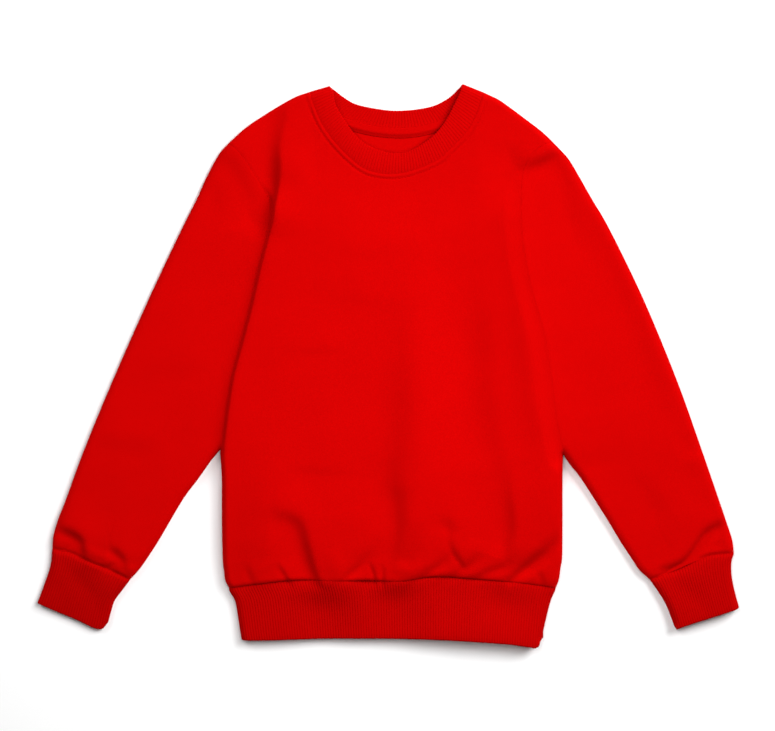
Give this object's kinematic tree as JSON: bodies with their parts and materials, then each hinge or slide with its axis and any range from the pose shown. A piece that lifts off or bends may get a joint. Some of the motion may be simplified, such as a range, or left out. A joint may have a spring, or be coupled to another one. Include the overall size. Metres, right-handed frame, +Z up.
{
  "type": "crewneck sweatshirt",
  "caption": "Child's plain crewneck sweatshirt laid flat, front up, with set-in sleeves and ribbed collar, cuffs and hem.",
  "frame": {"origin": "centre of the laid-out sweatshirt's footprint, on the surface that it lies on", "axes": "+X across the sweatshirt from one cuff to the other, +Y from the hem to the collar, +Z up, out of its front"},
  "size_m": [0.6306, 0.5069, 0.0136],
  "materials": {
    "fleece": "matt brushed cotton fleece, red",
    "rib": "matt one-by-one cotton rib, red"
  },
  "bodies": {
    "root": {"front_panel": "fleece", "back_panel": "fleece", "left_sleeve": "fleece", "right_sleeve": "fleece", "neck_tape": "fleece", "hem_band": "rib", "left_cuff": "rib", "right_cuff": "rib", "neckband": "rib"}
  },
  "joints": []
}
